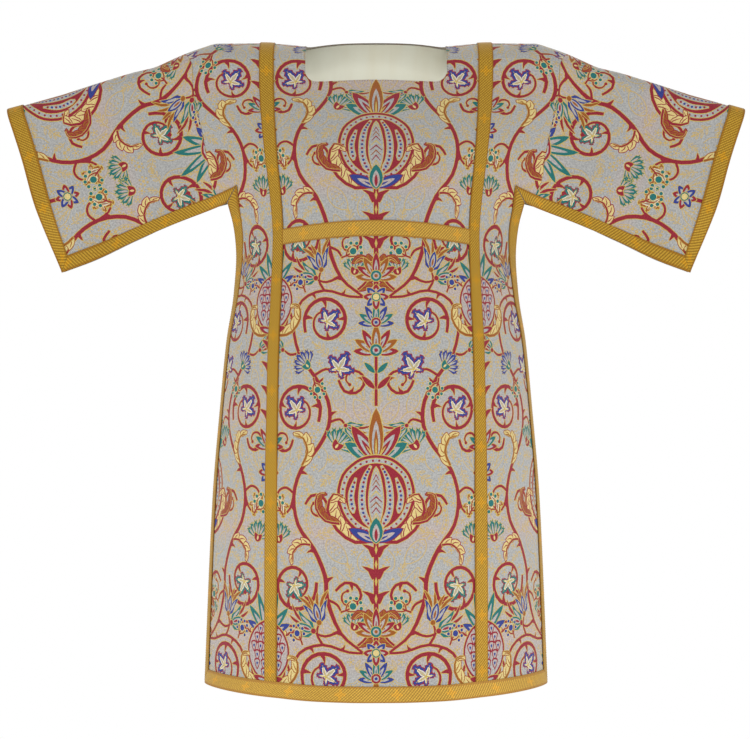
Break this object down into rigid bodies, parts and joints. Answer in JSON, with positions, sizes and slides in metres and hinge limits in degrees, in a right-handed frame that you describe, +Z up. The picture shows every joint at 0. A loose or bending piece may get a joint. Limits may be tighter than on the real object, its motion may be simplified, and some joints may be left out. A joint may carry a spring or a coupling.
{
  "type": "liturgical tunic",
  "caption": "Knee-length Roman-cut liturgical tunic, filled out as worn: wide short sleeves held out, square neck, open sides and underarms, woven bands on every edge.",
  "frame": {"origin": "middle of the shoulder line, in the plane where front and back meet, where the wearer's shoulders carry the garment", "axes": "+X to the wearer's left along the sleeves, -Y out of the front, +Z up"},
  "size_m": [1.2892, 0.4575, 1.1294],
  "materials": {
    "brocade": "figured silk brocade on a silver-pink ground, soft sheen",
    "galloon": "woven gold braid with a fine diagonal rib, low metallic sheen",
    "lining": "smooth beige sateen lining"
  },
  "bodies": {
    "root": {"front_panel": "brocade", "back_panel": "brocade", "sleeve_left": "brocade", "sleeve_right": "brocade", "back_lining": "lining", "galloon_upright_left": "galloon", "galloon_upright_right": "galloon", "galloon_cross_front": "galloon", "galloon_hem_front": "galloon", "galloon_side_front_left": "galloon", "galloon_side_front_right": "galloon", "galloon_underarm_front_left": "galloon", "galloon_underarm_front_right": "galloon", "galloon_cross_back": "galloon", "galloon_hem_back": "galloon", "galloon_side_back_left": "galloon", "galloon_side_back_right": "galloon", "galloon_underarm_back_left": "galloon", "galloon_underarm_back_right": "galloon", "galloon_cuff_left": "galloon", "galloon_cuff_right": "galloon"}
  },
  "joints": []
}
